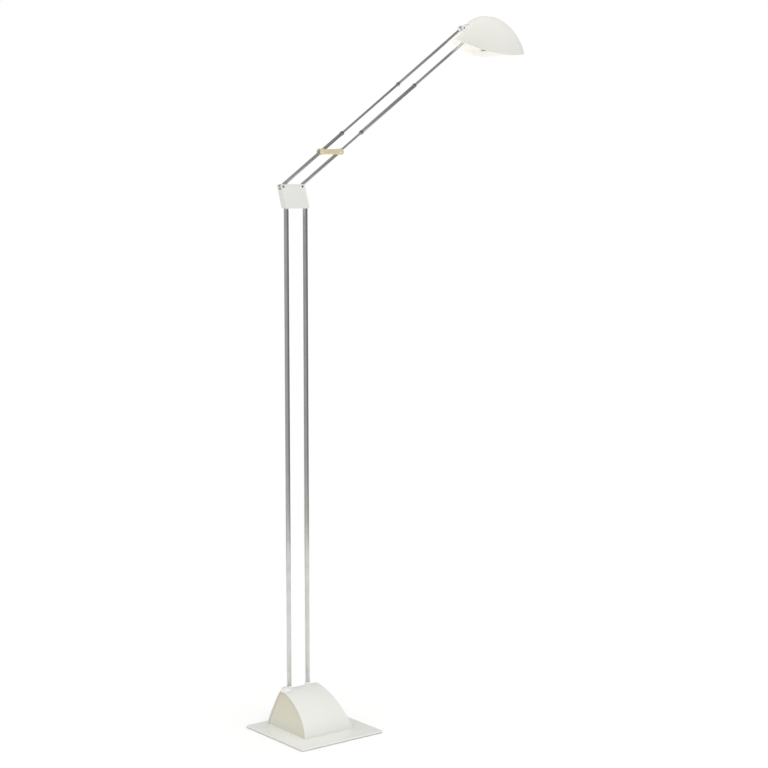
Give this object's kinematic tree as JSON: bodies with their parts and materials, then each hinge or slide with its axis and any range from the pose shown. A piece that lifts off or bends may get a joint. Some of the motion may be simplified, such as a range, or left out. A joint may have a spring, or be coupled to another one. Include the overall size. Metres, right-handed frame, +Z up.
{
  "type": "adjustable arm floor lamp",
  "caption": "Floor reading lamp: twin column rods on a weighted base with a humped cover, a parallel telescopic arm with a brass link, and a visor-shaped shade",
  "frame": {"origin": "centre of the base pad's underside, on the floor", "axes": "+Z up; +X along the two column rods, towards the side the arm reaches over; -Y is the front, which the long slope of the cover faces"},
  "size_m": [0.8024, 0.23, 1.6771],
  "materials": {
    "pad": "soft dark foam sheet",
    "white_enamel": "smooth semi-gloss off-white enamel",
    "ivory_panel": "satin ivory enamel",
    "zinc": "bright zinc plating",
    "iron": "dark varnished iron",
    "winding": "varnished copper wire",
    "board": "bare resin board",
    "black_parts": "moulded black components",
    "insulator": "laminated insulating board",
    "white_nylon": "white moulded nylon",
    "chrome": "polished chrome plate",
    "white_moulding": "satin off-white moulding",
    "dark_steel": "dark nickel",
    "satin_steel": "satin nickel plated tube",
    "brass": "polished brass",
    "reflector": "bright spun aluminium",
    "ceramic": "unglazed white ceramic",
    "clear_glass": "clear glass"
  },
  "bodies": {
    "base": {"base_pad": "pad", "base_plate": "white_enamel", "base_screws": "zinc", "ballast_block": "iron", "cover": "white_enamel", "cover_end_left": "ivory_panel", "cover_end_right": "ivory_panel", "cord_gland": "white_nylon", "transformer_core": "iron", "transformer_coil": "winding", "transformer_frame": "zinc", "terminal_block": "white_nylon", "dimmer_board": "board", "dimmer_parts": "black_parts", "dimmer_pot": "zinc", "rod_socket": "insulator", "rod_clamp_screws": "zinc", "rod_ferrules": "white_nylon", "column_rod_left": "chrome", "column_rod_right": "chrome", "bracket_front": "white_moulding", "bracket_back": "white_moulding", "bracket_screws": "zinc", "bracket_pins": "dark_steel", "bracket_washers": "white_nylon", "contact_springs": "brass"},
    "knob": {"dimmer_knob": "white_nylon"},
    "upper_strand": {"upper_eye": "satin_steel", "upper_tube": "satin_steel", "upper_collar": "dark_steel", "upper_rod": "satin_steel", "upper_link_boss": "dark_steel"},
    "lower_strand": {"lower_eye": "satin_steel", "lower_tube": "satin_steel", "lower_link_boss": "dark_steel", "lower_rod": "satin_steel", "lower_sleeve": "satin_steel", "sleeve_collars": "dark_steel"},
    "link": {"link_front": "brass", "link_back": "brass", "link_pins": "brass"},
    "upper_slide": {"upper_slide_tube": "satin_steel", "upper_slide_collar": "dark_steel", "upper_head_eye": "satin_steel", "upper_ferrule": "white_nylon"},
    "lower_slide": {"lower_slide_tube": "satin_steel", "lower_head_eye": "satin_steel", "lower_ferrule": "white_nylon"},
    "head": {"head_carrier": "white_nylon", "head_pins": "dark_steel", "head_washers": "white_nylon", "carrier_screws": "zinc", "shade": "white_moulding", "reflector": "reflector", "lamp_holder": "ceramic", "bulb_glass": "clear_glass", "bulb_wires": "dark_steel", "safety_glass": "clear_glass", "glass_clips": "zinc"}
  },
  "joints": [
    {"name": "arm_swing", "type": "hinge", "parent": "base", "child": "upper_strand", "pos_m": [-0.04, 0.063, 1.267], "axis": [0, -1, 0], "range_deg": [-18, 48]},
    {"name": "lower_strand_swing", "type": "hinge", "parent": "base", "child": "lower_strand", "pos_m": [0.013, 0.063, 1.267], "axis": [0, -1, 0], "range_deg": [-18, 48]},
    {"name": "link_turn", "type": "hinge", "parent": "upper_strand", "child": "link", "pos_m": [0.07195, 0.063, 1.34597], "axis": [0, -1, 0], "range_deg": [-48, 18]},
    {"name": "arm_extend", "type": "slide", "parent": "upper_strand", "child": "upper_slide", "axis": [0.8171, 0, 0.5764], "range_m": [-0.155, 0.015]},
    {"name": "lower_extend", "type": "slide", "parent": "lower_strand", "child": "lower_slide", "axis": [0.8171, 0, 0.5764], "range_m": [-0.155, 0.015]},
    {"name": "head_level", "type": "hinge", "parent": "upper_slide", "child": "head", "pos_m": [0.49605, 0.063, 1.64514], "axis": [0, -1, 0], "range_deg": [-48, 18]},
    {"name": "dimmer_turn", "type": "hinge", "parent": "base", "child": "knob", "pos_m": [-0.0435, 0.052, 0.0925], "axis": [0, 0, 1], "range_deg": [-270, 0]}
  ],
  "couplings": [
    {"joint": "lower_strand_swing", "follows": "arm_swing", "ratio": 1},
    {"joint": "link_turn", "follows": "arm_swing", "ratio": -1},
    {"joint": "head_level", "follows": "arm_swing", "ratio": -1},
    {"joint": "lower_extend", "follows": "arm_extend", "ratio": 1}
  ]
}
